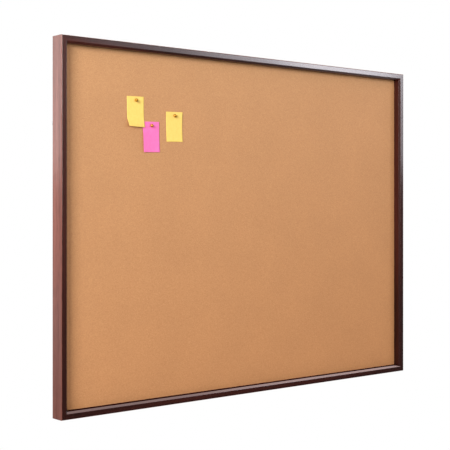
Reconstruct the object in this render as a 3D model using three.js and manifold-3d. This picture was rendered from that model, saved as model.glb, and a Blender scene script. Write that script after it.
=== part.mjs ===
// A framed cork pin board with three tacked paper notes. Millimetres, +Z up, the front faces -Y.
// The origin is the middle of the top rail's back face, where the frame meets the wall.

import * as THREE from 'three';
import { mergeVertices } from 'three/addons/utils/BufferGeometryUtils.js';
import Module from 'manifold-3d';

const wasm = await Module();
wasm.setup();

// Board outline and frame moulding
const BOARD_WIDTH = 1200;
const BOARD_HEIGHT = 900;
const FACE_WIDTH = 13.5; // flat front face of the moulding
const BEVEL_SIZE = 5; // 45 degree bevel along the sight edge
const EDGE_RADIUS = 2.5; // rounded outer front edge
const RECESS_DEPTH = 22; // front face to cork
const LAND_WIDTH = 12; // wood left outside the rebate, seen from the back
const GLUE_LINE = 0.1; // gap across each mitre

// Panel, from the cork to the open back of the frame
const CORK_THICKNESS = 4;
const CORE_THICKNESS = 6;
const BACK_THICKNESS = 3;
const BACK_SETBACK = 6; // back board to the back of the frame
const PANEL_CLEARANCE = 0.5; // panel edge to the wall of the rebate

// Fit of a steel piece in the slot or hole that it is driven into
const DRIVEN_CLEARANCE = 0.3;
const CUT_OVERRUN = 1; // how far a cutter passes the face that it opens

// Corner nails, driven from the back across each mitre
const NAIL_MARGIN = 2; // nail to either side of the land
const NAIL_THICKNESS = 0.7;
const NAIL_HEIGHT = 10;
const NAIL_SINK = 0.5; // nail below the back of the frame

// Flat retainers that keep the panel in its rebate
const RETAINERS_PER_RAIL = 4;
const RETAINERS_PER_STILE = 3;
const RETAINER_WIDTH = 8;
const RETAINER_THICKNESS = 0.6;
const RETAINER_REACH = 9; // length that lies on the back board
const RETAINER_COVER = 3.5; // wood between the driven tip and the outer side
const RETAINER_TAPER = 3; // length of the pointed end

// Hangers: a strap rolled into a knuckle round the bar of a swinging D ring
const HANGER_DROP = 200; // knuckle below the top of the frame
const STRAP_WIDTH = 8; // its inner edge is flush with the rebate
const STRAP_LENGTH = 43; // knuckle axis to the round end
const STRAP_THICKNESS = 1.2;
const KNUCKLE_WRAP = 290; // degrees of the roll
const RING_WIRE = 2.4; // wire diameter
const RING_WIDTH = 12; // between wire centres
const RING_CORNER = 1.6; // corner radius of the wire centre line
const RING_SHOULDER = 6; // bar to the start of the round end
const RING_CLEARANCE = 0.3; // wire to knuckle
const SCREW_FROM_KNUCKLE = 24;
const SCREW_PITCH = 12;
const SCREW_DIAMETER = 2.8;
const SCREW_LENGTH = 13; // below the head
const SCREW_TIP = 3;
const SCREW_HEAD_DIAMETER = 5.6;
const SCREW_HEAD_HEIGHT = 1.8;

// Rubber bumpers at the foot of the frame, as thick as the hangers stand off
const BUMPER_INSET = 60; // bumper to the side of the frame
const BUMPER_DIAMETER = 9;
const BUMPER_CHAMFER = 0.8;

// Paper notes
const NOTE_WIDTH = 50;
const NOTE_HEIGHT = 75;
const NOTE_THICKNESS = 0.4;
const NOTE_CLEARANCE = 0.3; // paper to cork
const NOTE_TACK_DROP = 10; // tack below the upper edge of its note
const NOTE_FLAP = 27; // length at the lower edge that stands off the cork
const NOTE_BEND = 8; // part of the flap that is curved
const NOTES_FROM_LEFT = 198.6; // first note's left edge to the side of the frame
const NOTE_STEPS_ACROSS = 6;
const NOTE_STEPS_DOWN = 15;

// Tacks: a ball head on a short collar, with a steel point set in it
const BALL_RADIUS = 4.2;
const COLLAR_RADIUS = 2;
const COLLAR_HEIGHT = 1.2;
const POINT_RADIUS = 0.6;
const POINT_TAPER = 3;
const POINT_SEAT = 6; // length of the point inside the head
const POINT_END_MARGIN = 1; // core left under the tip
const POINT_CLEARANCE = 0.3;

const ROUND_STEPS = 20;
const HOLE_STEPS = 10;
const ARC_STEPS = 4;
const BALL_STEPS = 10;
const WIRE_SIDES = 8;
const WIRE_STEPS = 44;

// Places that follow from the sizes above
const MOULDING_WIDTH = FACE_WIDTH + BEVEL_SIZE;
const FRAME_DEPTH = RECESS_DEPTH + CORK_THICKNESS + CORE_THICKNESS + BACK_THICKNESS + BACK_SETBACK;
const CORK_FACE = RECESS_DEPTH - FRAME_DEPTH;
const CORE_FACE = CORK_FACE + CORK_THICKNESS;
const BACK_FACE = CORE_FACE + CORE_THICKNESS;
const BOARD_SIDE = BOARD_WIDTH / 2;
const BOARD_TOP = LAND_WIDTH / 2;
const BOARD_MIDDLE = BOARD_TOP - BOARD_HEIGHT / 2;
const BOARD_FOOT = BOARD_TOP - BOARD_HEIGHT;
const PANEL_WIDTH = BOARD_WIDTH - 2 * (LAND_WIDTH + PANEL_CLEARANCE);
const PANEL_HEIGHT = BOARD_HEIGHT - 2 * (LAND_WIDTH + PANEL_CLEARANCE);
const KNUCKLE_BORE = RING_WIRE / 2 + RING_CLEARANCE;
const KNUCKLE_RADIUS = KNUCKLE_BORE + STRAP_THICKNESS;
const STAND_OFF = 2 * KNUCKLE_RADIUS;
const HANGER_Z = BOARD_TOP - HANGER_DROP;
const HANGER_INSET = LAND_WIDTH - STRAP_WIDTH / 2;
const SCREW_DROPS = [SCREW_FROM_KNUCKLE, SCREW_FROM_KNUCKLE + SCREW_PITCH];
const POINT_REACH = CORK_THICKNESS + CORE_THICKNESS - POINT_END_MARGIN;
const POINT_HOLE = POINT_RADIUS + POINT_CLEARANCE;
const BALL_HEIGHT = COLLAR_HEIGHT + Math.sqrt(BALL_RADIUS ** 2 - COLLAR_RADIUS ** 2);
const HALF_TURN = Math.PI;
const QUARTER_TURN = Math.PI / 2;

const WOOD = { color: 0x3d2523, roughness: 0.35, metalness: 0 };
const CORK = { color: 0xcd9868, roughness: 0.9, metalness: 0 };
const FIBRE = { color: 0x9a7d5a, roughness: 0.95, metalness: 0 };
const HARDBOARD = { color: 0x6b4a30, roughness: 0.7, metalness: 0 };
const STEEL = { color: 0xb9bcc0, roughness: 0.35, metalness: 1 };
const RUBBER = { color: 0x2b2b2c, roughness: 0.8, metalness: 0 };
const BRASS = { color: 0xd9a441, roughness: 0.3, metalness: 1 };
const YELLOW_PAPER = { color: 0xfde27a, roughness: 0.85, metalness: 0 };
const PINK_PAPER = { color: 0xff86c6, roughness: 0.85, metalness: 0 };

// Each note's gap to the note on its left, less than 0 where it reaches under that note's flap, its upper edge
// below the top of the frame, its lean in degrees anticlockwise, and the degrees that the left and right of its
// flap stand off
const NOTES = [
  { name: 'yellow_left', paper: YELLOW_PAPER, gap: 0, down: 128.5, lean: 0.7, flap: [25, 9.5] },
  { name: 'pink', paper: PINK_PAPER, gap: -3, down: 189, lean: 1.6, flap: [7, 4] },
  { name: 'yellow_right', paper: YELLOW_PAPER, gap: 22.5, down: 160.5, lean: 1.2, flap: [3, 7] },
];

const board = new THREE.Group();

function addPiece(parent, name, geometry, finish) {
  const mesh = new THREE.Mesh(geometry, new THREE.MeshStandardMaterial(finish));
  mesh.name = name;
  parent.add(mesh);
  return mesh;
}

function addGroup(x, y, z, turn) {
  const group = new THREE.Group();
  group.position.set(x, y, z);
  group.rotation.y = turn;
  board.add(group);
  return group;
}

// Closed geometry to a solid that can be cut, and back
function solidOf(geometry) {
  const bare = geometry.clone();
  bare.deleteAttribute('normal');
  bare.deleteAttribute('uv');
  const merged = mergeVertices(bare);
  return new wasm.Manifold(new wasm.Mesh({
    numProp: 3,
    vertProperties: new Float32Array(merged.attributes.position.array),
    triVerts: new Uint32Array(merged.index.array),
  }));
}

function geometryOf(solid) {
  const mesh = solid.getMesh();
  const geometry = new THREE.BufferGeometry();
  geometry.setAttribute('position', new THREE.BufferAttribute(mesh.vertProperties, 3));
  geometry.setIndex(new THREE.BufferAttribute(mesh.triVerts, 1));
  geometry.computeVertexNormals();
  return geometry;
}

function cutAway(geometry, cutters) {
  let solid = solidOf(geometry);
  for (const cutter of cutters) {
    solid = solid.subtract(solidOf(cutter));
  }
  return geometryOf(solid);
}

// A plate whose outline lies in the board's plane, from y = back forwards by its thickness
function plate(outline, back, thickness) {
  const geometry = new THREE.ExtrudeGeometry(outline, { depth: thickness, bevelEnabled: false });
  geometry.rotateX(Math.PI / 2);
  geometry.translate(0, back, 0);
  return geometry;
}

function polygon(points) {
  return new THREE.Shape(points.map(([x, y]) => new THREE.Vector2(x, y)));
}

// A round hole along Y, between two depths
function hole(radius, x, z, front, back) {
  const geometry = new THREE.CylinderGeometry(radius, radius, back - front, HOLE_STEPS);
  geometry.translate(x, (front + back) / 2, z);
  return geometry;
}

function turned(profile) {
  return new THREE.LatheGeometry(profile.map(([r, y]) => new THREE.Vector2(r, y)), ROUND_STEPS);
}

// Moulding section: across runs in from the outer side, depth runs back from the front face
function mouldingSection() {
  const section = new THREE.Shape();
  section.absarc(EDGE_RADIUS, EDGE_RADIUS, EDGE_RADIUS, Math.PI, 1.5 * Math.PI, false);
  section.lineTo(FACE_WIDTH, 0);
  section.lineTo(MOULDING_WIDTH, BEVEL_SIZE);
  section.lineTo(MOULDING_WIDTH, RECESS_DEPTH);
  section.lineTo(LAND_WIDTH, RECESS_DEPTH);
  section.lineTo(LAND_WIDTH, FRAME_DEPTH);
  section.lineTo(0, FRAME_DEPTH);
  return section;
}

// A mitred length: X along it, Z = 0 on its outer side with the board below, Y = 0 at its back
function mouldingLength(length) {
  const geometry = new THREE.ExtrudeGeometry(mouldingSection(), {
    depth: length,
    bevelEnabled: false,
    curveSegments: ARC_STEPS,
  });
  const place = geometry.attributes.position;
  for (let i = 0; i < place.count; i += 1) {
    const mitred = length / 2 - place.getX(i) - GLUE_LINE / Math.SQRT2;
    place.setZ(i, place.getZ(i) > 0 ? mitred : -mitred);
  }
  geometry.rotateY(Math.PI / 2);
  geometry.translate(0, -FRAME_DEPTH, 0);
  return geometry;
}

// Corner nail: an angle whose legs lie in the two lengths of a mitre. The corner is at x = z = 0.
function nailOutline(clearance) {
  const far = LAND_WIDTH - NAIL_MARGIN + clearance;
  const inside = LAND_WIDTH - NAIL_MARGIN - NAIL_THICKNESS - clearance;
  const near = NAIL_MARGIN - clearance;
  return polygon([
    [-near, -inside], [-inside, -inside], [-inside, -near], [-far, -near], [-far, -far], [-near, -far],
  ]);
}

function nail() {
  return plate(nailOutline(0), -NAIL_SINK, NAIL_HEIGHT);
}

function nailSlot(x, turn) {
  const depth = NAIL_SINK + NAIL_HEIGHT + DRIVEN_CLEARANCE + CUT_OVERRUN;
  const slot = plate(nailOutline(DRIVEN_CLEARANCE), CUT_OVERRUN, depth);
  slot.rotateY(turn);
  slot.translate(x, 0, 0);
  return slot;
}

// Retainer: a flat point driven out through the wall of the rebate, flat on the back board
function retainer() {
  const half = RETAINER_WIDTH / 2;
  const shoulder = -(RETAINER_COVER + RETAINER_TAPER);
  const end = -(LAND_WIDTH + RETAINER_REACH);
  const tip = -RETAINER_COVER;
  const outline = polygon([[-half, end], [half, end], [half, shoulder], [0, tip], [-half, shoulder]]);
  return plate(outline, RETAINER_THICKNESS - BACK_SETBACK, RETAINER_THICKNESS);
}

function retainerSlot(x) {
  const half = RETAINER_WIDTH / 2 + DRIVEN_CLEARANCE;
  const top = DRIVEN_CLEARANCE - RETAINER_COVER;
  const end = -(LAND_WIDTH + CUT_OVERRUN);
  const outline = polygon([[-half, end], [half, end], [half, top], [-half, top]]);
  const back = RETAINER_THICKNESS - BACK_SETBACK + DRIVEN_CLEARANCE;
  const slot = plate(outline, back, RETAINER_THICKNESS + 2 * DRIVEN_CLEARANCE);
  slot.translate(x, 0, 0);
  return slot;
}

// Even places along a length, half a step in from its ends
function spread(count, length) {
  const step = length / count;
  return Array.from({ length: count }, (_, i) => (i + 0.5) * step - length / 2);
}

// Pilot hole for a hanger screw, in a stile that lies along X
function pilotHole(along) {
  const front = STRAP_THICKNESS - SCREW_LENGTH - DRIVEN_CLEARANCE;
  return hole(SCREW_DIAMETER / 2 + DRIVEN_CLEARANCE, along, -HANGER_INSET, front, CUT_OVERRUN);
}

const screwsAboveMiddle = SCREW_DROPS.map((drop) => HANGER_Z - drop - BOARD_MIDDLE);
const RAIL = { length: BOARD_WIDTH, retainers: RETAINERS_PER_RAIL, screws: [] };
const STILE = { length: BOARD_HEIGHT, retainers: RETAINERS_PER_STILE };
const LENGTHS = [
  { ...RAIL, name: 'frame_top_rail', x: 0, z: BOARD_TOP, turn: 0 },
  {
    ...STILE, name: 'frame_right_stile', x: BOARD_SIDE, z: BOARD_MIDDLE, turn: QUARTER_TURN,
    screws: screwsAboveMiddle.map((height) => -height),
  },
  { ...RAIL, name: 'frame_bottom_rail', x: 0, z: BOARD_FOOT, turn: HALF_TURN },
  {
    ...STILE, name: 'frame_left_stile', x: -BOARD_SIDE, z: BOARD_MIDDLE, turn: -QUARTER_TURN,
    screws: screwsAboveMiddle,
  },
];

// Frame: each length in a group turned to its side, with the retainers that are driven into it
let retainerCount = 0;
for (const { name, length, retainers, screws, x, z, turn } of LENGTHS) {
  const group = addGroup(x, 0, z, turn);
  const places = spread(retainers, length);
  const cutters = [
    nailSlot(length / 2, 0), nailSlot(-length / 2, -QUARTER_TURN),
    ...places.map(retainerSlot), ...screws.map(pilotHole),
  ];
  addPiece(group, name, cutAway(mouldingLength(length), cutters), WOOD);
  for (const place of places) {
    retainerCount += 1;
    addPiece(group, `retainer_${retainerCount}`, retainer(), STEEL).position.x = place;
  }
}

// One nail in each corner, clockwise from the top right seen from the front
const CORNERS = [
  { x: BOARD_SIDE, z: BOARD_TOP, turn: 0 },
  { x: BOARD_SIDE, z: BOARD_FOOT, turn: QUARTER_TURN },
  { x: -BOARD_SIDE, z: BOARD_FOOT, turn: HALF_TURN },
  { x: -BOARD_SIDE, z: BOARD_TOP, turn: -QUARTER_TURN },
];
CORNERS.forEach(({ x, z, turn }, i) => {
  addPiece(addGroup(x, 0, z, turn), `corner_nail_${i + 1}`, nail(), STEEL);
});

// Notes and tacks, left to right
let noteLeft = NOTES_FROM_LEFT - BOARD_SIDE;
const tackPlaces = NOTES.map(({ gap, down }) => {
  const left = noteLeft + gap;
  noteLeft = left + NOTE_WIDTH;
  return { x: left + NOTE_WIDTH / 2, z: BOARD_TOP - down - NOTE_TACK_DROP };
});

// A sheet that is flat as far as its flap, which bends forwards by an angle that changes across it
function noteSheet([leftAngle, rightAngle]) {
  const flat = NOTE_HEIGHT - NOTE_FLAP;
  const sheet = new THREE.BoxGeometry(
    NOTE_WIDTH, NOTE_THICKNESS, NOTE_HEIGHT, NOTE_STEPS_ACROSS, 1, NOTE_STEPS_DOWN,
  );
  const place = sheet.attributes.position;
  for (let i = 0; i < place.count; i += 1) {
    const across = place.getX(i) / NOTE_WIDTH + 0.5;
    const forward = NOTE_THICKNESS / 2 - place.getY(i);
    const down = NOTE_HEIGHT / 2 - place.getZ(i);
    const full = THREE.MathUtils.degToRad(THREE.MathUtils.lerp(leftAngle, rightAngle, across));
    const radius = NOTE_BEND / full;
    const past = Math.max(0, down - flat);
    const angle = Math.min(past / radius, full);
    const straight = Math.max(0, past - NOTE_BEND);
    const bentDown = (radius - forward) * Math.sin(angle) + straight * Math.cos(angle);
    const bentOut = radius - (radius - forward) * Math.cos(angle) + straight * Math.sin(angle);
    place.setY(i, -bentOut);
    place.setZ(i, NOTE_TACK_DROP - Math.min(down, flat) - bentDown);
  }
  return cutAway(sheet, [hole(POINT_HOLE, 0, 0, -NOTE_THICKNESS - CUT_OVERRUN, CUT_OVERRUN)]);
}

// Head of a tack: a ball that grows out of its collar, bored from the paper up to the seat of the point
function tackHead() {
  const profile = [[0, POINT_SEAT], [POINT_HOLE, POINT_SEAT], [POINT_HOLE, 0], [COLLAR_RADIUS, 0]];
  const widest = Math.PI - Math.asin(COLLAR_RADIUS / BALL_RADIUS);
  for (let i = 0; i <= BALL_STEPS; i += 1) {
    const angle = widest * (1 - i / BALL_STEPS);
    profile.push([BALL_RADIUS * Math.sin(angle), BALL_HEIGHT + BALL_RADIUS * Math.cos(angle)]);
  }
  return turned(profile).rotateX(Math.PI);
}

function tackPoint() {
  const tip = -(NOTE_THICKNESS + NOTE_CLEARANCE + POINT_REACH);
  const profile = [[0, tip], [POINT_RADIUS, tip + POINT_TAPER], [POINT_RADIUS, POINT_SEAT], [0, POINT_SEAT]];
  return turned(profile).rotateX(Math.PI);
}

NOTES.forEach(({ name, paper, lean, flap }, i) => {
  const { x, z } = tackPlaces[i];
  const pinned = addGroup(x, CORK_FACE - NOTE_CLEARANCE, z, -THREE.MathUtils.degToRad(lean));
  addPiece(pinned, `note_${name}`, noteSheet(flap), paper);
  addPiece(pinned, `tack_head_${i + 1}`, tackHead(), BRASS).position.y = -NOTE_THICKNESS;
  addPiece(pinned, `tack_point_${i + 1}`, tackPoint(), STEEL).position.y = -NOTE_THICKNESS;
});

// Panel layers, glued face to face, with the tacks' holes
function panelLayer(front, thickness, holeDepth) {
  const layer = new THREE.BoxGeometry(PANEL_WIDTH, thickness, PANEL_HEIGHT);
  layer.translate(0, front + thickness / 2, BOARD_MIDDLE);
  const holes = tackPlaces.map(({ x, z }) => hole(POINT_HOLE, x, z, front - CUT_OVERRUN, front + holeDepth));
  return holeDepth > 0 ? cutAway(layer, holes) : layer;
}

const tackHoleInCore = POINT_REACH - CORK_THICKNESS + POINT_CLEARANCE;
addPiece(board, 'cork_sheet', panelLayer(CORK_FACE, CORK_THICKNESS, CORK_THICKNESS + CUT_OVERRUN), CORK);
addPiece(board, 'core_board', panelLayer(CORE_FACE, CORE_THICKNESS, tackHoleInCore), FIBRE);
addPiece(board, 'back_board', panelLayer(BACK_FACE, BACK_THICKNESS, 0), HARDBOARD);

// Hanger strap: side view rolled into a knuckle, cut to a round end and drilled
function strap() {
  const wrapEnd = Math.PI - THREE.MathUtils.degToRad(KNUCKLE_WRAP);
  const side = new THREE.Shape();
  side.moveTo(0, -STRAP_LENGTH);
  side.absarc(KNUCKLE_RADIUS, 0, KNUCKLE_RADIUS, Math.PI, wrapEnd, true);
  side.absarc(KNUCKLE_RADIUS, 0, KNUCKLE_BORE, wrapEnd, Math.PI, false);
  side.lineTo(STRAP_THICKNESS, -STRAP_LENGTH);
  const bent = new THREE.ExtrudeGeometry(side, {
    depth: STRAP_WIDTH,
    bevelEnabled: false,
    curveSegments: ROUND_STEPS / 2,
  });
  bent.translate(0, 0, -STRAP_WIDTH / 2);
  bent.applyMatrix4(new THREE.Matrix4().makeBasis(
    new THREE.Vector3(0, 1, 0), new THREE.Vector3(0, 0, 1), new THREE.Vector3(1, 0, 0),
  ));
  const half = STRAP_WIDTH / 2;
  const outline = new THREE.Shape();
  outline.moveTo(half, STAND_OFF);
  outline.lineTo(-half, STAND_OFF);
  outline.absarc(0, half - STRAP_LENGTH, half, Math.PI, 2 * Math.PI, false);
  const blank = plate(outline, STAND_OFF + CUT_OVERRUN, STAND_OFF + 2 * CUT_OVERRUN);
  const rounded = geometryOf(solidOf(bent).intersect(solidOf(blank)));
  const radius = SCREW_DIAMETER / 2 + DRIVEN_CLEARANCE;
  const through = STRAP_THICKNESS + CUT_OVERRUN;
  return cutAway(rounded, SCREW_DROPS.map((drop) => hole(radius, 0, -drop, -CUT_OVERRUN, through)));
}

// D ring, hanging from its bar
function ring() {
  const half = RING_WIDTH / 2;
  const bar = half - RING_CORNER;
  const outline = new THREE.Path();
  outline.moveTo(-bar, 0);
  outline.absarc(bar, -RING_CORNER, RING_CORNER, Math.PI / 2, 0, true);
  outline.absarc(0, -RING_SHOULDER, half, 0, -Math.PI, true);
  outline.absarc(-bar, -RING_CORNER, RING_CORNER, Math.PI, Math.PI / 2, true);
  const points = outline.getSpacedPoints(WIRE_STEPS).slice(1);
  const line = new THREE.CatmullRomCurve3(points.map(({ x, y }) => new THREE.Vector3(x, 0, y)), true);
  return new THREE.TubeGeometry(line, WIRE_STEPS, RING_WIRE / 2, WIRE_SIDES, true);
}

function screw() {
  const radius = SCREW_DIAMETER / 2;
  const head = SCREW_HEAD_DIAMETER / 2;
  const profile = [[0, -SCREW_LENGTH], [radius, SCREW_TIP - SCREW_LENGTH], [radius, 0], [head, 0]];
  for (let i = 1; i <= ARC_STEPS; i += 1) {
    const angle = (i / ARC_STEPS) * Math.PI / 2;
    profile.push([head * Math.cos(angle), SCREW_HEAD_HEIGHT * Math.sin(angle)]);
  }
  profile[profile.length - 1][0] = 0;
  return turned(profile);
}

for (const [side, sign] of [['left', -1], ['right', 1]]) {
  const hanger = addGroup(sign * (BOARD_SIDE - HANGER_INSET), 0, HANGER_Z, 0);
  addPiece(hanger, `${side}_hanger_strap`, strap(), STEEL);
  addPiece(hanger, `${side}_hanger_ring`, ring(), STEEL).position.y = KNUCKLE_RADIUS;
  SCREW_DROPS.forEach((drop, i) => {
    const piece = addPiece(hanger, `${side}_hanger_screw_${i + 1}`, screw(), STEEL);
    piece.position.set(0, STRAP_THICKNESS, -drop);
  });
}

// Bumpers on the bottom rail
function bumper() {
  const radius = BUMPER_DIAMETER / 2;
  const tread = radius - BUMPER_CHAMFER;
  return turned([
    [0, 0], [radius, 0], [radius, STAND_OFF - BUMPER_CHAMFER], [tread, STAND_OFF], [0, STAND_OFF],
  ]);
}

for (const [side, sign] of [['left', -1], ['right', 1]]) {
  const foot = addGroup(sign * (BOARD_SIDE - BUMPER_INSET), 0, BOARD_FOOT + LAND_WIDTH / 2, 0);
  addPiece(foot, `${side}_bumper`, bumper(), RUBBER);
}

export default board;
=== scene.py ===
# %% [markdown]
# # A framed cork pin board
# The real object is a cork sheet on a soft fibre core, set deep in a mitred frame of dark lacquered wood,
# with three paper notes held by ball-headed brass tacks. Its back has a hardboard panel, flat retainers,
# two D-ring hangers and two rubber bumpers. The construction model already has every piece in its place, so
# this lesson dresses it: each step makes one piece or one finish, in the same frame and in metres.

# %% Load the construction model
from math import acos, cos, pi, radians, sin

import bmesh
import bpy
from mathutils import Color, Matrix, Vector


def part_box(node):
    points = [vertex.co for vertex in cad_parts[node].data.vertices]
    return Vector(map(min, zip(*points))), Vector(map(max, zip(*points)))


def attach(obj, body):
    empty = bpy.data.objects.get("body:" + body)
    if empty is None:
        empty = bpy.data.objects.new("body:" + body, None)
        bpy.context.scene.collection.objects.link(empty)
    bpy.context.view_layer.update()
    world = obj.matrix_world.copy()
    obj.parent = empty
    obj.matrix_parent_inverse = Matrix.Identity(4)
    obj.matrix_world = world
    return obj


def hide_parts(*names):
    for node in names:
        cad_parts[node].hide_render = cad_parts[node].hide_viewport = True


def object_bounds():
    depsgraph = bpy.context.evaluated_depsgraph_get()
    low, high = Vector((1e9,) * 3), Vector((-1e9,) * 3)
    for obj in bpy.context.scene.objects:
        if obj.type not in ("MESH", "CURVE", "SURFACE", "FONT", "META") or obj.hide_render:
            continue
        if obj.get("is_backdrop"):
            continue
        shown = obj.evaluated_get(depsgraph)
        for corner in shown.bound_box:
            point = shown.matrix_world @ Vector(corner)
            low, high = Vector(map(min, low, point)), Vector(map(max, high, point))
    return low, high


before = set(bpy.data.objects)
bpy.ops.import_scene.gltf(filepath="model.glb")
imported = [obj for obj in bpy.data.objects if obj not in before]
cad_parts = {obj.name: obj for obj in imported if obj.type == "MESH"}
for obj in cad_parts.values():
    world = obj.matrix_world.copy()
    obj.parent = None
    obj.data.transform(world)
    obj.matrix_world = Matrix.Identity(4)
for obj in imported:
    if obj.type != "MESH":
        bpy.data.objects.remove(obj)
cad_low, cad_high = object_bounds()
scene = bpy.context.scene
scene.view_settings.view_transform = "Standard"
MM = 0.001
SIDES = ("left", "right")
board_middle = (cad_low + cad_high) / 2
print("board size in mm:", [round(side / MM, 1) for side in cad_high - cad_low])

# %% [markdown]
# ## Camera
# The picture was taken from the left of the board, level with its middle. A level camera keeps upright
# edges upright, and the lens is shifted a little instead of tilted. The place, the turn and the lens come
# from solving for the four front corners of the frame, which is steadier than moving the camera by eye.

# %% Camera
CAMERA_TURN = 39.743  # degrees to the right of square to the board
lens = bpy.data.cameras.new("viewpoint")
lens.sensor_width = 36.0
lens.lens = 85.93
lens.shift_y = -0.04197
camera = bpy.data.objects.new("viewpoint", lens)
camera.location = (-1.90515, -2.20471, -0.39417)
camera.rotation_euler = (radians(90), 0, radians(-CAMERA_TURN))
scene.collection.objects.link(camera)
scene.camera = camera
print("camera to the middle of the board, m:", round((camera.location - board_middle).length, 3))

# %% [markdown]
# ## Nodes without clutter
# A finish is a small graph of nodes. A few helpers keep the graphs readable: one turns a colour from a
# paint chart into the linear values that shaders use, one adds a node and sets or links its sockets by
# name, and the others wrap the nodes that nearly every finish needs.

# %% Colours and nodes
def tone(red, green, blue):
    """A chart colour, 0 to 255 a channel, as linear red, green, blue and full opacity."""
    chart = Color((red / 255, green / 255, blue / 255))
    return (*chart.from_srgb_to_scene_linear(), 1.0)


def grey(level):
    return (level, level, level, 1.0)


def feed(tree, socket, value):
    """Sets a socket to a value, or links it where the value is another node's output."""
    if isinstance(value, bpy.types.NodeSocket):
        tree.links.new(value, socket)
    else:
        socket.default_value = value


def add_node(tree, kind, **sockets):
    """A new node whose inputs are fed by name, with underscores for spaces."""
    node = tree.nodes.new(kind)
    for name, value in sockets.items():
        feed(tree, node.inputs[name.replace("_", " ")], value)
    return node


# %% Helpers for finishes
def new_finish(name, roughness=0.5, metallic=0.0, specular=0.5):
    """A material with a bare shader, with its tree, its shader and the piece's own coordinates."""
    finish = bpy.data.materials.new(name)
    finish.use_nodes = True
    tree = finish.node_tree
    shader = tree.nodes["Principled BSDF"]
    shader.inputs["Roughness"].default_value = roughness
    shader.inputs["Metallic"].default_value = metallic
    shader.inputs["Specular IOR Level"].default_value = specular
    place = add_node(tree, "ShaderNodeTexCoord").outputs["Object"]
    return finish, tree, shader, place


def noise(tree, place, scale, detail=4.0, roughness=0.5):
    """Soft random blotches; scale is how many fit in a metre, or one number per axis."""
    if isinstance(scale, tuple):
        place = add_node(tree, "ShaderNodeMapping", Vector=place, Scale=scale).outputs["Vector"]
        scale = 1.0
    made = add_node(
        tree, "ShaderNodeTexNoise", Vector=place, Scale=scale, Detail=detail, Roughness=roughness,
    )
    return made.outputs["Fac"]


def ramp(tree, factor, *stops):
    """Colours along a factor; each stop is a position and a colour."""
    made = add_node(tree, "ShaderNodeValToRGB", Fac=factor)
    points = made.color_ramp.elements
    while len(points) < len(stops):
        points.new(0.5)
    for point, (position, colour) in zip(points, stops):
        point.position = position
        point.color = colour
    return made.outputs["Color"]


MIX_INPUTS = (0, 6, 7)  # a Mix node's share and its two colours; the rest are for numbers and vectors
MIX_OUTPUT = 2


def blend_colours(tree, mode, share, below, above):
    """One colour laid over another; share is how much the upper one counts."""
    made = tree.nodes.new("ShaderNodeMix")
    made.data_type = "RGBA"
    made.blend_type = mode
    for index, value in zip(MIX_INPUTS, (share, below, above)):
        feed(tree, made.inputs[index], value)
    return made.outputs[MIX_OUTPUT]


def bump(tree, shader, height, depth, strength=1.0):
    """Small relief from a height between 0 and 1, depth metres deep."""
    made = add_node(tree, "ShaderNodeBump", Height=height, Distance=depth, Strength=strength)
    tree.links.new(made.outputs["Normal"], shader.inputs["Normal"])


# %% Arithmetic in a graph
def operate(tree, operation, *values, kind="ShaderNodeMath"):
    """One step of arithmetic on numbers, vectors or other nodes' outputs."""
    made = tree.nodes.new(kind)
    made.operation = operation
    for socket, value in zip(made.inputs, values):
        feed(tree, socket, value)
    return made.outputs["Value"]


def stretch(tree, value, from_range, to_range):
    """A value's range mapped to another one, and held at both ends."""
    made = add_node(
        tree, "ShaderNodeMapRange", Value=value, From_Min=from_range[0], From_Max=from_range[1],
        To_Min=to_range[0], To_Max=to_range[1],
    )
    return made.outputs["Result"]


def by_height(tree, place, heights, values):
    """A value that runs from one to another between two heights."""
    height = add_node(tree, "ShaderNodeSeparateXYZ", Vector=place).outputs["Z"]
    return stretch(tree, height, heights, values)

# %% [markdown]
# ## Room
# A studio has a pale floor and large soft lamps. The board hangs, so the floor lies well below it. It takes
# the board's shadow, and further out it brightens to the white of the backdrop, so that no line shows where
# the two meet. That white is for the camera and for glosses: a Light Path node tells these rays from the
# light that bounces. The backdrop stands behind the board, and the floor that runs up to it is white in
# glosses too. The rest of a studio is dim, and glosses see the near floor as dim as that.

# %% Floor
FLOOR_HALF = 12.0  # half of its side
FLOOR_DROP = 0.9  # below the foot of the board
form = bmesh.new()
bmesh.ops.create_grid(form, x_segments=1, y_segments=1, size=FLOOR_HALF)
bmesh.ops.translate(form, vec=(0, 0, cad_low.z - FLOOR_DROP), verts=form.verts)
floor_mesh = bpy.data.meshes.new("floor")
form.to_mesh(floor_mesh)
form.free()
floor = bpy.data.objects.new("floor", floor_mesh)
scene.collection.objects.link(floor)
floor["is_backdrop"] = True
print("floor at z =", round(cad_low.z - FLOOR_DROP, 3))

# %% Paint on the floor
FLOOR_GREY = 0.45
FLOOR_FADE = (1.2, 3.0)  # distances between which the camera sees the floor brighten
FLOOR_WHITE = (0.6, 1.0)  # the share of white at these distances
TO_BACKDROP = (0.64, 0.77, 0.0)  # level, and straight away from the camera
RUN_UP = (0.5, 4.0)  # distances towards the backdrop between which glosses see the floor brighten
STUDIO_DIM = 0.03  # what glosses see of the room round the camera, against the white backdrop


def ray_kinds(tree):
    """Two switches that are 1 for rays straight from the camera, and for rays by way of a gloss."""
    path = add_node(tree, "ShaderNodeLightPath").outputs
    mirrored = operate(tree, "MAXIMUM", path["Is Glossy Ray"], path["Is Transmission Ray"])
    return path["Is Camera Ray"], mirrored


def towards_backdrop(tree, vector):
    return operate(tree, "DOT_PRODUCT", vector, TO_BACKDROP, kind="ShaderNodeVectorMath")


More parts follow.
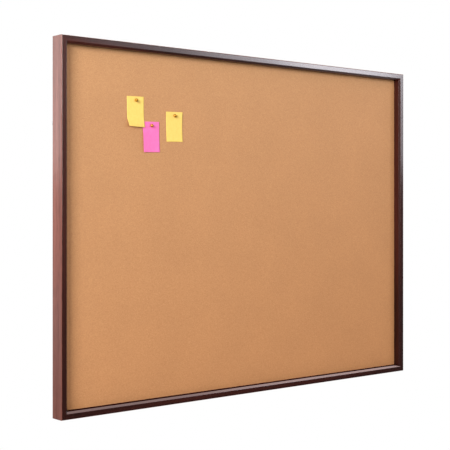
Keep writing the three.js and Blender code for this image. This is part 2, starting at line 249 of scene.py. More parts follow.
floor_paint = bpy.data.materials.new("floor_paint")
floor_paint.use_nodes = True
tree = floor_paint.node_tree
tree.nodes.clear()
seen, mirrored = ray_kinds(tree)
spot = add_node(tree, "ShaderNodeTexCoord").outputs["Object"]
away = operate(tree, "LENGTH", spot, kind="ShaderNodeVectorMath")
beyond = stretch(tree, towards_backdrop(tree, spot), RUN_UP, (STUDIO_DIM, 1.0))
whitened = operate(tree, "MULTIPLY", seen, stretch(tree, away, FLOOR_FADE, FLOOR_WHITE))
level = stretch(tree, mirrored, (0.0, 1.0), (1.0, beyond))
matt = add_node(tree, "ShaderNodeBsdfDiffuse", Color=grey(FLOOR_GREY))
glow = add_node(tree, "ShaderNodeEmission", Color=grey(1.0), Strength=level)
both = add_node(tree, "ShaderNodeMixShader", Fac=operate(tree, "MAXIMUM", whitened, mirrored))
tree.links.new(matt.outputs[0], both.inputs[1])
tree.links.new(glow.outputs[0], both.inputs[2])
add_node(tree, "ShaderNodeOutputMaterial", Surface=both.outputs[0])
floor_mesh.materials.append(floor_paint)
print("floor paint has", len(tree.nodes), "nodes")

# %% [markdown]
# The world is the backdrop. It is white to the camera, and glosses see the same white behind the board and
# the same dim room in front. The light that it gives is faint and a little warm, as light from the floor
# and the walls of a room is, so the recess of the frame keeps a warm shade.

# %% Backdrop
AMBIENT = 0.13
BOUNCE = (1.25, 0.94, 0.72, 1.0)  # the tint of light that comes off the floor and walls of a room
world = bpy.data.worlds.new("studio")
scene.world = world
world.use_nodes = True
tree = world.node_tree
seen, mirrored = ray_kinds(tree)
direction = add_node(tree, "ShaderNodeTexCoord").outputs["Generated"]
beyond = stretch(tree, towards_backdrop(tree, direction), (0.0, 1.0), (STUDIO_DIM, 1.0))
level = stretch(tree, mirrored, (0.0, 1.0), (AMBIENT, beyond))
level = operate(tree, "MAXIMUM", seen, level)
direct = operate(tree, "MAXIMUM", seen, mirrored)
sky = tree.nodes["Background"]
tree.links.new(blend_colours(tree, "MIX", direct, BOUNCE, grey(1.0)), sky.inputs["Color"])
tree.links.new(level, sky.inputs["Strength"])
print("ambient level", AMBIENT)

# %% [markdown]
# The lamps are softboxes. The large one on the left is the main light, so the left stile shades a strip of
# cork, and a warm one in front fills the shade. Four cool ones stand on the right, from where the lacquer
# mirrors them: together they are one gloss along the top rail and down the right stile, strong in its
# middle and weak at its ends. Two long ones overhead are seen in the bevel of the bottom rail, where they
# overlap towards its right end. One behind on the left gives the side of the frame its sheen, and the last
# one lights the back, for a walk round the board. Each is written as a radiance, which is what a gloss
# shows, and the power follows from its size.

# %% Softboxes
COOL = (0.97, 0.985, 1.06)
WARM = (1.06, 0.98, 0.9)
ROSY = (1.3, 0.92, 0.88)
WHITE = (1.0, 1.0, 1.0)
BOARD = (0.0, 0.0, -0.35)  # where the lamps on the right aim


def softbox(name, place, aim, size, radiance, tint=WHITE):
    """A rectangular lamp, turned towards a point."""
    width, height = size
    lamp = bpy.data.lights.new(name, "AREA")
    lamp.shape = "RECTANGLE"
    lamp.size = width
    lamp.size_y = height
    lamp.energy = radiance * pi * width * height
    lamp.color = tint
    hung = bpy.data.objects.new(name, lamp)
    hung.location = place
    hung.rotation_euler = (Vector(aim) - Vector(place)).to_track_quat("-Z", "Y").to_euler()
    scene.collection.objects.link(hung)
    print(name, round(lamp.energy, 1), "W")


softbox("left_softbox", (-3.78, -2.06, 0.78), (-0.3, 0.0, -0.38), size=(1.7, 1.6), radiance=22.8)
softbox("right_softbox", (2.102, -1.74, 0.56), BOARD, size=(0.6, 0.8), radiance=5.3, tint=COOL)
softbox("low_softbox", (2.2, -1.64, -0.02), BOARD, size=(0.7, 0.36), radiance=1.5, tint=COOL)
softbox("front_softbox", (1.76, -2.1, 0.56), BOARD, size=(0.5, 0.8), radiance=2.2, tint=COOL)
softbox("far_softbox", (1.4, -2.5, 0.5), BOARD, size=(0.6, 0.8), radiance=0.6, tint=COOL)
softbox("fill_softbox", (-0.2, -3.3, 0.25), (0.0, 0.0, -0.4), size=(1.6, 1.4), radiance=4.4, tint=WARM)
softbox("top_softbox", (1.65, -0.5, 1.0), (1.65, -0.1, -0.8), size=(2.8, 0.8), radiance=0.95, tint=ROSY)
softbox(
    "top_right_softbox", (2.25, -0.5, 0.94), (2.25, -0.1, -0.86), size=(1.6, 0.8), radiance=0.6, tint=ROSY,
)
softbox("rim_softbox", (-2.3, 2.8, 0.65), (-0.6, 0.0, -0.2), size=(1.5, 1.8), radiance=2.2)
softbox("back_softbox", (1.3, 2.8, 0.6), (0.0, 0.0, -0.45), size=(1.5, 1.5), radiance=5.0)

# %% [markdown]
# ## Frame
# The frame is a dark brown lacquered moulding: a flat face, a bevel towards the cork, a deep inner wall and
# a rebate behind. Its form is right in the construction model, but its edges are razor sharp, and no
# varnished wood is. A length could be modelled again from its outline, but a copy also keeps the slots that
# the corner nails and retainers sit in. So each length is a copy whose triangles are joined into clean
# flats, with every long edge eased by a narrow bevel. The same helpers serve the steel pieces of the back.

# %% Eased copies of construction pieces
WELD = 0.001 * MM  # points nearer than this are one point
FLAT = 0.5  # degrees; faces that turn by less are one flat


def merged_copy(node):
    """The node's form as a mesh in the making, with its loose triangles joined into flats."""
    form = bmesh.new()
    form.from_mesh(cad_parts[node].data)
    bmesh.ops.remove_doubles(form, verts=form.verts, dist=WELD)
    bmesh.ops.dissolve_limit(
        form, angle_limit=radians(FLAT), use_dissolve_boundaries=False, verts=form.verts, edges=form.edges,
    )
    return form


def sharp_edges(form, least_angle):
    return [e for e in form.edges if len(e.link_faces) == 2 and e.calc_face_angle() > radians(least_angle)]


def ease_edges(form, edges, width, segments=2):
    bmesh.ops.bevel(
        form, geom=edges, offset=width, offset_type="OFFSET", affect="EDGES", segments=segments,
        profile=0.5, material=-1, clamp_overlap=True,
    )


# %% A mesh becomes a piece
def finish_piece(form, name, body, finishes, replaced, crisp=None):
    """A piece that rides on a body in place of nodes. Edges that turn by more than crisp look sharp."""
    for face in form.faces:
        face.smooth = True
    if crisp:
        for edge in sharp_edges(form, crisp):
            edge.smooth = False
    mesh = bpy.data.meshes.new(name)
    form.to_mesh(mesh)
    form.free()
    for finish in finishes:
        mesh.materials.append(finish)
    piece = bpy.data.objects.new(name, mesh)
    scene.collection.objects.link(piece)
    if crisp:
        flats = piece.modifiers.new("flats", "WEIGHTED_NORMAL")
        flats.keep_sharp = True
    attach(piece, body)
    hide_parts(*replaced)
    print(name, len(mesh.polygons), "faces")
    return piece


def dress(node, finish):
    """A construction node keeps its form and takes a finish."""
    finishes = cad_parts[node].data.materials
    finishes.clear()
    finishes.append(finish)
    print(finish.name, "on", node)

# %% [markdown]
# The wood is stained nearly black-brown, with a satin lacquer. Wood grain is noise that is stretched a long
# way along the length: one broad noise gives the streaks, and a finer one the short dark pores, which also
# dent the lacquer. Rails and stiles run different ways, so each direction has its own finish. The outer
# sides are a lighter red-brown, partly from a thinner stain and partly as painted light for the strong lamp
# that falls on them. Only the face and the bevel are polished: the inner walls and the back have a plainer
# coat, the sill of the recess is worn matt by dust, and on the rounded edges the coat is thin. Towards the
# foot of the board the colour is darkened: this is painted shade, for light that falls off downwards.

# %% Lacquered wood
X_AXIS, Z_AXIS = 0, 2
STREAKS = (55.0, 1.6)  # how many fit in a metre, across the grain and along it
PORES = (900.0, 26.0)
PORE_DEPTH = 0.05 * MM
COAT_ROUGHNESS = 0.17
COAT_IOR = 1.6
FOOT_BAND = 0.2  # up to this height the painted shade is darkest, and from the board's middle up there is none
PAINTED_SHADE_HEIGHTS = (cad_low.z + FOOT_BAND, board_middle.z)


def with_grain(grain_axis, counts):
    """A scale per axis for a pattern that is stretched along the grain."""
    across, along = counts
    return tuple(along if axis == grain_axis else across for axis in range(3))


def lacquered_wood(name, grain_axis, streak_tones, specular, coat=0.0, painted_shade_at_foot=1.0):
    """Stained wood, its grain along one axis. The painted shade at the foot is the share of colour left at
    the board's foot, where less light falls.
    """
    finish, tree, shader, place = new_finish(name, specular=specular)
    shader.inputs["Coat Weight"].default_value = coat
    shader.inputs["Coat Roughness"].default_value = COAT_ROUGHNESS
    shader.inputs["Coat IOR"].default_value = COAT_IOR
    streaks = noise(tree, place, with_grain(grain_axis, STREAKS), detail=6.0, roughness=0.62)
    pores = noise(tree, place, with_grain(grain_axis, PORES), detail=2.0)
    dark, medium, light = streak_tones
    stained = ramp(tree, streaks, (0.3, dark), (0.5, medium), (0.7, light))
    pore_mask = ramp(tree, pores, (0.32, grey(0.55)), (0.46, grey(1.0)))
    coloured = blend_colours(tree, "MULTIPLY", 1.0, stained, pore_mask)
    # painted shade: the colour is darkened towards the board's foot, where less light falls
    if painted_shade_at_foot < 1.0:
        shade = by_height(tree, place, PAINTED_SHADE_HEIGHTS, (painted_shade_at_foot, 1.0))
        coloured = blend_colours(tree, "MULTIPLY", 1.0, coloured, shade)
    tree.links.new(coloured, shader.inputs["Base Color"])
    sheen = ramp(tree, streaks, (0.25, grey(0.22)), (0.75, grey(0.16)))
    tree.links.new(sheen, shader.inputs["Roughness"])
    bump(tree, shader, pore_mask, PORE_DEPTH, 0.6)
    return finish


# %% Finishes of the frame
FACE_TONES = (tone(50, 21, 16), tone(66, 28, 22), tone(84, 38, 30))
# the sides are lighter partly from a thinner stain and partly as painted light, for the strong lamp that
# falls on them
SIDE_STAIN_AND_LIGHT_TONES = (tone(121, 73, 64), tone(142, 90, 80), tone(161, 105, 94))
rail_face = lacquered_wood("rail_face_wood", X_AXIS, FACE_TONES, specular=0.75, coat=1.0, painted_shade_at_foot=0.6)
rail_side = lacquered_wood("rail_side_wood", X_AXIS, SIDE_STAIN_AND_LIGHT_TONES, specular=0.3)
stile_face = lacquered_wood("stile_face_wood", Z_AXIS, FACE_TONES, specular=0.75, coat=1.0, painted_shade_at_foot=0.6)
stile_side = lacquered_wood("stile_side_wood", Z_AXIS, SIDE_STAIN_AND_LIGHT_TONES, specular=0.3, painted_shade_at_foot=0.72)
rail_wall = lacquered_wood("rail_wall_wood", X_AXIS, FACE_TONES, specular=0.2, painted_shade_at_foot=0.5)
stile_wall = lacquered_wood("stile_wall_wood", Z_AXIS, FACE_TONES, specular=0.2, painted_shade_at_foot=0.5)
sill = lacquered_wood("sill_wood", X_AXIS, FACE_TONES, specular=0.0, painted_shade_at_foot=0.5)
rail_edge = lacquered_wood("rail_edge_wood", X_AXIS, FACE_TONES, specular=0.5, painted_shade_at_foot=0.6)
stile_edge = lacquered_wood("stile_edge_wood", Z_AXIS, FACE_TONES, specular=0.5, painted_shade_at_foot=0.6)
FACE, SIDE, WALL, EDGE = range(4)  # the order of the finishes of a length
RAIL_FINISHES = (rail_face, rail_side, rail_wall, rail_edge)
SILL_FINISHES = (rail_face, rail_side, sill, rail_edge)
STILE_FINISHES = (stile_face, stile_side, stile_wall, stile_edge)
print("wood finishes:", [finish.name for finish in (*RAIL_FINISHES, sill, *STILE_FINISHES)])

# %% [markdown]
# A face of a length could be given its finish by hand, but the way it faces already tells which one it
# needs: out of the frame is a side, in towards the cork is a wall, and between face and side lies the
# rounded edge.

# %% Frame lengths
ARRIS = 0.3 * MM
LONG_EDGE = 0.7  # longer than any edge of a slot, and shorter than a rail or a stile
EASED_WOOD = 40  # degrees; edges that turn by more are eased
CRISP_WOOD = 35  # degrees; edges that turn by more look sharp
SIDE_FROM, EDGE_FROM, WALL_BELOW = 0.5, 0.2, -0.8  # how far out of the frame a face is turned, 1 at most
FRAME_LENGTHS = {
    "frame_top_rail": (Vector((0, 0, 1)), RAIL_FINISHES),
    "frame_bottom_rail": (Vector((0, 0, -1)), SILL_FINISHES),
    "frame_left_stile": (Vector((-1, 0, 0)), STILE_FINISHES),
    "frame_right_stile": (Vector((1, 0, 0)), STILE_FINISHES),
}


def wood_index(turned_out, faces_front):
    """Which finish of a length a face has. The back is finished like a wall."""
    if turned_out > SIDE_FROM:
        return SIDE
    if turned_out < WALL_BELOW or not faces_front:
        return WALL
    return EDGE if turned_out > EDGE_FROM else FACE


for node, (outward, finishes) in FRAME_LENGTHS.items():
    form = merged_copy(node)
    long_edges = [e for e in sharp_edges(form, EASED_WOOD) if e.calc_length() > LONG_EDGE]
    ease_edges(form, long_edges, ARRIS, segments=3)
    for face in form.faces:
        face.material_index = wood_index(face.normal.dot(outward), face.normal.y < 0)
    name = node.replace("frame_", "wood_")
    finish_piece(form, name, "board", finishes, [node], CRISP_WOOD)

# %% [markdown]
# ## Cork
# The cork is pressed from granules of one or two millimetres, with finer crumbs between them, and sanded
# flat. From a few steps away it is a warm tan with a fine speckle. Voronoi cells are the granules: each has
# its own shade, a few are dark bark, and the joints between them are slightly sunk. A noise pushes their
# outlines about, because bark doesn't break in straight lines. A slow noise keeps so large a sheet from
# looking printed. The colour is also painted paler and cooler towards the top of the sheet, a painted sheen,
# and warmer at its foot, a painted warm light.

# %% Granules
COARSE_GRAINS = 620.0  # in a metre
FINE_GRAINS = 1500.0
WOBBLE = (1.6 * MM, 1.6 * MM, 1.6 * MM)  # the most that a noise moves an outline, along each axis
JOINT_DEPTH = 0.1 * MM


def granules(tree, place, per_metre, feature="F1"):
    made = add_node(tree, "ShaderNodeTexVoronoi", Vector=place, Scale=per_metre)
    made.feature = feature
    return made.outputs


cork, tree, shader, place = new_finish("pressed_cork", roughness=0.6, specular=0.4)
shifted = add_node(tree, "ShaderNodeVectorMath")
shifted.operation = "MULTIPLY_ADD"
for socket, value in zip(shifted.inputs, (noise(tree, place, scale=260.0, detail=2.0), WOBBLE, place)):
    feed(tree, socket, value)
coarse = granules(tree, shifted.outputs["Vector"], COARSE_GRAINS)["Color"]
fine = granules(tree, shifted.outputs["Vector"], FINE_GRAINS)["Color"]
joints = granules(tree, shifted.outputs["Vector"], COARSE_GRAINS, "DISTANCE_TO_EDGE")["Distance"]
coarse_shade = add_node(tree, "ShaderNodeSeparateColor", Color=coarse).outputs["Red"]
fine_shade = add_node(tree, "ShaderNodeSeparateColor", Color=fine).outputs["Green"]
relief = ramp(tree, joints, (0.0, grey(0.0)), (0.12, grey(1.0)))
bump(tree, shader, relief, JOINT_DEPTH, 0.5)
print("granules and crumbs, mm:", [round(1 / grains / MM, 1) for grains in (COARSE_GRAINS, FINE_GRAINS)])

# %% Cork sheet
# painted light: the sheet is paler and cooler towards its top, as a sheen, and warmer at its foot, as warm
# light from below
PAINTED_FOOT_TINT = (0.97, 0.91, 0.89, 1.0)
PAINTED_SHEEN_TINT = (0.99, 1.04, 1.12, 1.0)
body_tone = ramp(
    tree, coarse_shade, (0.0, tone(195, 140, 92)), (0.25, tone(201, 147, 98)), (0.8, tone(206, 153, 103)),
    (1.0, tone(211, 160, 110)),
)
speckle = ramp(tree, fine_shade, (0.0, grey(0.87)), (0.1, grey(0.97)), (0.8, grey(1.0)), (1.0, grey(1.03)))
mottled = blend_colours(tree, "MULTIPLY", 0.8, body_tone, speckle)
slow = ramp(tree, noise(tree, place, scale=9.0, detail=5.0), (0.3, grey(0.95)), (0.7, grey(1.0)))
mottled = blend_colours(tree, "MULTIPLY", 1.0, mottled, slow)
height_share = by_height(tree, place, (cad_low.z, cad_high.z), (0.0, 1.0))
painted_sheen = ramp(tree, height_share, (0.0, PAINTED_FOOT_TINT), (1.0, PAINTED_SHEEN_TINT))
tree.links.new(blend_colours(tree, "MULTIPLY", 1.0, mottled, painted_sheen), shader.inputs["Base Color"])
dress("cork_sheet", cork)

# %% [markdown]
# ## Notes
# Each note is a sheet of coloured paper, pinned near its upper edge. The paper is uncoated, so it is matt,
# with a faint cloudiness and a fibre relief that is only seen from near.

# %% Paper
FIBRE_DEPTH = 0.02 * MM


def paper(name, body_tone, cloud_tone):
    finish, tree, shader, place = new_finish(name, roughness=0.82, specular=0.2)
    cloud = noise(tree, place, scale=160.0, detail=6.0, roughness=0.7)
    fibres = noise(tree, place, scale=2600.0, detail=3.0)
    tree.links.new(ramp(tree, cloud, (0.25, cloud_tone), (0.6, body_tone)), shader.inputs["Base Color"])
    bump(tree, shader, fibres, FIBRE_DEPTH, 0.5)
    print("paper:", name)
    return finish


yellow_paper = paper("yellow_paper", tone(248, 219, 122), tone(245, 212, 108))
pink_paper = paper("pink_paper", tone(252, 130, 200), tone(248, 120, 190))

# %% [markdown]
# The left note is bent near its foot, and the flap stands away from the cork, more on its left. The others
# lie nearly flat with some corners lifting. A cloth simulation could bend them, but paper doesn't stretch,
# and a grid that is bent by moving its points keeps the paper's length true. Where the tack goes through,
# one point of the grid is bevelled into a small disc, which is cut out, and the rim is made round. Round it
# the tack presses the paper flat. Solidify gives the sheet the thickness of paper.

# %% A pierced sheet
NOTE_SIZE = (50.8 * MM, 76.2 * MM)
NOTE_TACK_DROP = 10 * MM  # from the upper edge to the tack
NOTE_GRID = (24, 60)
PIERCED = 0.8 * MM  # the radius of the hole for the tack


def pierced_sheet():
    """A flat note with its height along Y and its hole at the origin."""
    width, height = NOTE_SIZE
    columns, rows = NOTE_GRID
    form = bmesh.new()
    bmesh.ops.create_grid(form, x_segments=columns, y_segments=rows, size=0.5)
    bmesh.ops.scale(form, vec=(width, height, 1), verts=form.verts)
    bmesh.ops.translate(form, vec=(0, NOTE_TACK_DROP - height / 2, 0), verts=form.verts)
    pierced = min(form.verts, key=lambda vert: vert.co.length)
    pierced.co = Vector((0, 0, 0))
    disc = bmesh.ops.bevel(
        form, geom=[pierced], offset=PIERCED, offset_type="OFFSET", affect="VERTICES", segments=3,
        profile=0.5, material=-1,
    )
    bmesh.ops.delete(form, geom=disc["faces"], context="FACES")
    for vert in form.verts:
        if vert.co.length < 1.01 * PIERCED:  # on the rim
            vert.co = vert.co.normalized() * PIERCED
    return form


# %% Bends and lifts
NOTE_FLAP = 27 * MM  # the free length below the bend's start
NOTE_BEND = 8 * MM  # the length that the bend takes
TACK_PRESS = 8 * MM  # within this distance the tack presses the paper flat
EDGE_LIFT_TOP = 0.15  # where an edge starts to lift, as a share of the height
EDGE_LIFT_RUN = 0.3  # the share of the height over which its lift grows


def lifted(across, low_share, corner_lifts, edge_lift):
    """How far a place on a note stands off. Shares run from the left edge and from the upper edge."""
    out = edge_lift * (1 - across) ** 2 * min(1.0, max(0.0, low_share - EDGE_LIFT_TOP) / EDGE_LIFT_RUN)
    high_share = 1 - low_share
    nearness = (1 - across, high_share), (across, high_share), (1 - across, low_share), (across, low_share)
    for lift, (sideways, upright) in zip(corner_lifts, nearness):
        out += lift * max(0.0, sideways * upright) ** 3
    return out


def bend_sheet(form, flap_angles, corner_lifts, edge_lift):
    """Stands a flat note up along Z, with its flap and its lifts towards -Y."""
    width, height = NOTE_SIZE
    for vert in form.verts:
        across = vert.co.x / width + 0.5
        down = NOTE_TACK_DROP - vert.co.y
        angle = radians(flap_angles[0] + (flap_angles[1] - flap_angles[0]) * across)
        past = max(0.0, down - (height - NOTE_FLAP))
        bend = min(past, NOTE_BEND)
        turned = angle * bend / NOTE_BEND
        along = bend * cos(turned / 2) + (past - bend) * cos(angle)
        out = bend * sin(turned / 2) + (past - bend) * sin(angle)
        pressed = min(1.0, vert.co.length / TACK_PRESS) ** 2
        out += pressed * lifted(across, down / height, corner_lifts, edge_lift)
        vert.co = Vector((vert.co.x, -out, NOTE_TACK_DROP - min(down, height - NOTE_FLAP) - along))
    bmesh.ops.recalc_face_normals(form, faces=form.faces)


# %% Three notes
PAPER = 0.22 * MM
NOTE_SEAT = 0.1 * MM  # from the back of the construction note to the middle of the paper


def box_middle(node):
    low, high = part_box(node)
    return (low + high) / 2


def note(name, node, body, finish, tack, lean, flap_angles, corner_lifts, edge_lift=0.0):
    """A pinned sheet, leaning by some degrees, with a flap whose angle runs from its left to its right edge.

    Corner lifts are for the top left, top right, foot left and foot right. Edge lift is for the left edge.
    """
    form = pierced_sheet()
    bend_sheet(form, flap_angles, corner_lifts, edge_lift)
    lean_over = Matrix.Rotation(radians(-lean), 3, "Y")
    bmesh.ops.rotate(form, cent=(0, 0, 0), matrix=lean_over, verts=form.verts)
    bmesh.ops.translate(form, vec=(tack.x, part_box(node)[1].y - NOTE_SEAT, tack.z), verts=form.verts)
    piece = finish_piece(form, name, body, [finish], [node])
    wall = piece.modifiers.new("paper", "SOLIDIFY")
    wall.thickness = PAPER
    wall.offset = 0.0


tacks = [box_middle(f"tack_head_{i}") for i in (1, 2, 3)]
note("left_note", "note_yellow_left", "note_left", yellow_paper, tacks[0], lean=0.7,
     flap_angles=(25.0, 9.5), corner_lifts=(0.0, 0.4 * MM, 0.6 * MM, 0.0))
note("middle_note", "note_pink", "note_middle", pink_paper, tacks[1], lean=1.6,
     flap_angles=(1.0, 1.0), corner_lifts=(0.0, 0.8 * MM, 0.4 * MM, 0.6 * MM), edge_lift=3 * MM)
note("right_note", "note_yellow_right", "note_right", yellow_paper, tacks[2], lean=1.2,
     flap_angles=(1.0, 2.0), corner_lifts=(0.5 * MM, 3.2 * MM, 0.4 * MM, 0.8 * MM))

# %% [markdown]
# ## Tacks
# A tack is a small brass-plated ball with a short collar, pressed on a steel point. Plating is never quite
# even, so one noise makes the metal both a little duller and a little rougher in places, and a finer one
# scratches it. The steel pieces of the back have the same kind of finish, in zinc.

# %% Metals
SCRATCH_DEPTH = 0.01 * MM


def plated_metal(name, body_tone, dull_tone, roughness, patches):
    """Plated metal with so many dull patches in a metre."""
    finish, tree, shader, place = new_finish(name, roughness=roughness, metallic=1.0)
    wear = noise(tree, place, patches, detail=5.0, roughness=0.65)
    tree.links.new(ramp(tree, wear, (0.3, dull_tone), (0.65, body_tone)), shader.inputs["Base Color"])
    gloss = ramp(tree, wear, (0.25, grey(roughness * 1.5)), (0.75, grey(roughness * 0.8)))
    tree.links.new(gloss, shader.inputs["Roughness"])
    bump(tree, shader, noise(tree, place, patches * 6, detail=2.0), SCRATCH_DEPTH, 0.35)
    print("metal:", name)
    return finish


brass = plated_metal("polished_brass", tone(226, 172, 74), tone(194, 138, 50), roughness=0.36, patches=420.0)
zinc = plated_metal("zinc_plate", tone(205, 207, 210), tone(168, 171, 176), roughness=0.34, patches=300.0)

# %% [markdown]
# A sphere and a cylinder could stand for the head, but the real one is turned in one piece, so its outline
# is spun about the tack's own axis. The outline starts in the bore that takes the point, goes round the
# collar and follows the ball to its top. The point is spun too.

# %% Spun shapes
def spun(outline, steps):
    """A turned shape: the outline's points are a distance from the axis and a height along +Z."""
    form = bmesh.new()
    points = [form.verts.new((radius, 0, height)) for radius, height in outline]
    edges = [form.edges.new(pair) for pair in zip(points, points[1:])]
    bmesh.ops.spin(
        form, geom=points + edges, cent=(0, 0, 0), axis=(0, 0, 1), dvec=(0, 0, 0), angle=2 * pi,
        steps=steps, use_merge=True, use_duplicate=False,
    )
    bmesh.ops.remove_doubles(form, verts=form.verts, dist=WELD)
    bmesh.ops.recalc_face_normals(form, faces=form.faces)
    return form


def lay_down(form, quarter_turn, place):
    """Turns a spun shape's +Z to -Y with 90 degrees, or to +Y with -90, and moves it into place."""
    laid = Matrix.Rotation(radians(quarter_turn), 3, "X")
    bmesh.ops.rotate(form, cent=(0, 0, 0), matrix=laid, verts=form.verts)
    bmesh.ops.translate(form, vec=place, verts=form.verts)


# %% Tack heads and points
COLLAR = 2 * MM
COLLAR_HEIGHT = 1.2 * MM
SOFT = 0.2 * MM  # rounding of the collar's foot and of the point's end
BORE_PLAY = 0.05 * MM
POINT_TAPER = 3 * MM
TIP_LENGTH = 0.3 * MM
TIP_SHARE = 0.2  # of the point's radius
BALL_STEPS = 24
CRISP_METAL = 50  # degrees


def head_outline(ball, rise, bore, seat):
    """From the end of the bore, round the collar and up the ball; rise is the whole height of the head."""
    outline = [(0.0, seat + BORE_PLAY), (bore, seat), (bore, 0.0), (COLLAR - SOFT, 0.0), (COLLAR, SOFT)]
    outline.append((COLLAR, COLLAR_HEIGHT - SOFT))
    start = -acos(COLLAR / ball)
    for step in range(BALL_STEPS):
        angle = start + (pi / 2 - start) * step / BALL_STEPS
        outline.append((ball * cos(angle), rise - ball + ball * sin(angle)))
    return outline + [(0.0, rise)]


def point_outline(radius, length):
    """From the sharp end to the end that sits in the head."""
    return [(0.0, -length), (TIP_SHARE * radius, TIP_LENGTH - length), (radius, POINT_TAPER - length),
            (radius, -SOFT), (radius - SOFT, 0.0), (0.0, 0.0)]


for i, tack in enumerate(tacks, start=1):
    head_low, head_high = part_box(f"tack_head_{i}")
    point_low, point_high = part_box(f"tack_point_{i}")
    ball, rise = (head_high.x - head_low.x) / 2, head_high.y - head_low.y
    radius, length = (point_high.x - point_low.x) / 2, point_high.y - point_low.y
    outline = head_outline(ball, rise, bore=radius + BORE_PLAY, seat=head_high.y - point_low.y)
    form = spun(outline, steps=48)
    lay_down(form, 90, (tack.x, head_high.y, tack.z))
    finish_piece(form, f"brass_ball_{i}", f"tack_{i}", [brass], [f"tack_head_{i}"], CRISP_METAL)
    form = spun(point_outline(radius, length), steps=24)
    lay_down(form, 90, (tack.x, point_low.y, tack.z))
    finish_piece(form, f"steel_point_{i}", f"tack_{i}", [zinc], [f"tack_point_{i}"], CRISP_METAL)

# %% [markdown]
# ## Back
# Behind the cork lie the fibre core and a hardboard panel. Hardboard is pressed on a wire screen, so its
# back has a fine woven relief: two crossed wave patterns, multiplied. Its colour is a brown of mixed
# fibres. The core can't be seen in a finished board. Both pieces are plain slabs, so the construction
# pieces stay and take a finish.

# %% Hardboard and fibre core
SCREEN_WIRES = 95.0  # the wave scale of the wire screen
SCREEN_DEPTH = 0.25 * MM
STRAND_DEPTH = 0.2 * MM
hardboard, tree, shader, place = new_finish("hardboard", roughness=0.72, specular=0.3)
fibres = noise(tree, place, scale=(240.0, 240.0, 60.0), detail=8.0, roughness=0.7)
coloured = ramp(tree, fibres, (0.25, tone(98, 68, 44)), (0.5, tone(122, 87, 58)), (0.75, tone(146, 108, 76)))
tree.links.new(coloured, shader.inputs["Base Color"])
screen = []
for direction in ("X", "Z"):
    wires = add_node(tree, "ShaderNodeTexWave", Vector=place, Scale=SCREEN_WIRES, Distortion=0.0)
    wires.wave_type = "BANDS"
    wires.bands_direction = direction
    screen.append(wires.outputs["Fac"])
bump(tree, shader, operate(tree, "MULTIPLY", *screen), SCREEN_DEPTH, 0.8)
softboard, tree, shader, place = new_finish("fibre_core", roughness=0.95, specular=0.1)
strands = noise(tree, place, scale=(500.0, 90.0, 500.0), detail=7.0, roughness=0.7)
coloured = ramp(tree, strands, (0.3, tone(134, 106, 74)), (0.7, tone(176, 147, 110)))
tree.links.new(coloured, shader.inputs["Base Color"])
bump(tree, shader, strands, STRAND_DEPTH)
dress("back_board", hardboard)
dress("core_board", softboard)

# %% [markdown]
# The panel is kept in its rebate by flat steel retainers, and the mitres are drawn tight by corner nails.
# Both are stamped from sheet, so their edges are only just broken: one flat step of bevel is enough at this
# size.

# %% Retainers and corner nails
RETAINERS = 14
CORNER_NAILS = 4
BROKEN_EDGE = 0.1 * MM
EASED_SHEET = 30  # degrees
stamped = [f"retainer_{i}" for i in range(1, RETAINERS + 1)]
stamped += [f"corner_nail_{i}" for i in range(1, CORNER_NAILS + 1)]
for node in stamped:
    form = merged_copy(node)
    ease_edges(form, sharp_edges(form, EASED_SHEET), BROKEN_EDGE, segments=1)
    finish_piece(form, "flat_" + node, "board", [zinc], [node], CRISP_METAL)

# %% [markdown]
# Each hanger is a strap rolled round the bar of a D ring and held by two screws. The strap is eased like
# the frame. The ring is a wire. A curve with a round bevel would give the same form, but then it would have
# to be made a mesh: here the wire's section is pushed along the straight stretches and spun round the bends
# from the start. The screws have the right form already, so a merged copy only takes smooth shading and a
# finish.

# %% Hanger straps
STRAP_EDGE = 0.15 * MM
EASED_STRAP = 50  # degrees
CRISP_STEEL = 35  # degrees
for side in SIDES:
    node = f"{side}_hanger_strap"
    form = merged_copy(node)
    ease_edges(form, sharp_edges(form, EASED_STRAP), STRAP_EDGE)
    finish_piece(form, f"{side}_strap", "board", [zinc], [node], CRISP_STEEL)

# %% D rings
WIRE = 1.2 * MM
RING_HALF = 6 * MM
RING_CORNER = 1.6 * MM
RING_SHOULDER = 6 * MM  # from the bar down to where the round part starts
RING_WELD = 0.01 * MM
BAR_HALF = RING_HALF - RING_CORNER


def push(form, section, vec, steps=1):
    """Pushes a ring of edges along a vector, and returns the new ring of edges."""
    step = [part / steps for part in vec]
    return bmesh.ops.spin(
        form, geom=section, cent=(0, 0, 0), axis=(0, 1, 0), dvec=step, angle=0.0, steps=steps,
        use_merge=False, use_duplicate=False,
    )["geom_last"]


def turn(form, section, cent, angle, steps):
    """Turns a ring of edges about a centre, and returns the new ring of edges."""
    return bmesh.ops.spin(
        form, geom=section, cent=cent, axis=(0, 1, 0), dvec=(0, 0, 0), angle=radians(angle), steps=steps,
        use_merge=False, use_duplicate=False,
    )["geom_last"]


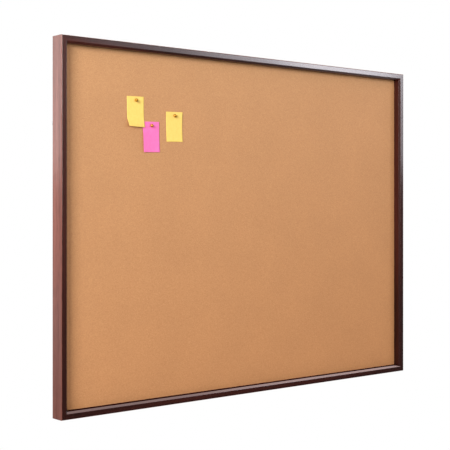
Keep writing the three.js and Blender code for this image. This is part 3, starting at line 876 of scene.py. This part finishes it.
for side in SIDES:
    node = f"{side}_hanger_ring"
    form = bmesh.new()
    bmesh.ops.create_circle(form, cap_ends=False, radius=WIRE, segments=16)
    bmesh.ops.rotate(form, cent=(0, 0, 0), matrix=Matrix.Rotation(radians(90), 3, "Y"), verts=form.verts)
    bmesh.ops.translate(form, vec=(-BAR_HALF, 0, 0), verts=form.verts)
    section = form.verts[:] + form.edges[:]
    section = push(form, section, (2 * BAR_HALF, 0, 0), steps=2)
    section = turn(form, section, (BAR_HALF, 0, -RING_CORNER), 90, steps=6)
    section = push(form, section, (0, 0, RING_CORNER - RING_SHOULDER))
    section = turn(form, section, (0, 0, -RING_SHOULDER), 180, steps=28)
    section = push(form, section, (0, 0, RING_SHOULDER - RING_CORNER))
    turn(form, section, (-BAR_HALF, 0, -RING_CORNER), 90, steps=6)
    bmesh.ops.remove_doubles(form, verts=form.verts, dist=RING_WELD)
    bmesh.ops.recalc_face_normals(form, faces=form.faces)
    middle = box_middle(node)
    bmesh.ops.translate(form, vec=(middle.x, middle.y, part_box(node)[1].z - WIRE), verts=form.verts)
    finish_piece(form, f"{side}_d_ring", f"{side}_ring", [zinc], [node])

# %% Screws
for side in SIDES:
    for i in (1, 2):
        node = f"{side}_hanger_screw_{i}"
        finish_piece(merged_copy(node), f"{side}_screw_{i}", "board", [zinc], [node], CRISP_STEEL)

# %% [markdown]
# The bumpers are moulded rubber buttons, matt, with a fine grain from the mould. They are round, so an
# outline is spun again: a flat foot on the frame, an upright side, and a rounded edge towards the wall.

# %% Bumpers
BUMPER_ROUND = 1.2 * MM
BUMPER_FOOT = (0.3 * MM, 0.4 * MM)  # the broken edge of the foot, inwards and up
ROUND_STEPS = 4
MOULD_GRAIN = 0.05 * MM
rubber, tree, shader, place = new_finish("bumper_rubber", roughness=0.75, specular=0.35)
dust = noise(tree, place, scale=900.0, detail=5.0)
coloured = ramp(tree, dust, (0.3, tone(34, 34, 35)), (0.8, tone(52, 52, 53)))
tree.links.new(coloured, shader.inputs["Base Color"])
bump(tree, shader, dust, MOULD_GRAIN, 0.6)
for side in SIDES:
    node = f"{side}_bumper"
    low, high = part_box(node)
    radius, thick = (high.x - low.x) / 2, high.y - low.y
    outline = [(0.0, 0.0), (radius - BUMPER_FOOT[0], 0.0), (radius, BUMPER_FOOT[1])]
    for step in range(ROUND_STEPS + 1):
        angle = pi / 2 * step / ROUND_STEPS
        outline.append((radius - BUMPER_ROUND * (1 - cos(angle)), thick - BUMPER_ROUND * (1 - sin(angle))))
    outline.append((0.0, thick))
    form = spun(outline, steps=40)
    middle = box_middle(node)
    lay_down(form, -90, (middle.x, low.y, middle.z))
    finish_piece(form, f"{side}_button", "board", [rubber], [node])

# %% [markdown]
# ## Sizes
# The dressed board has to be as large as the construction model, so both boxes are written down to be
# compared.

# %% Print the dressed size and finish
low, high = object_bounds()
print("dressed size in mm:", [round(side / MM, 1) for side in high - low])
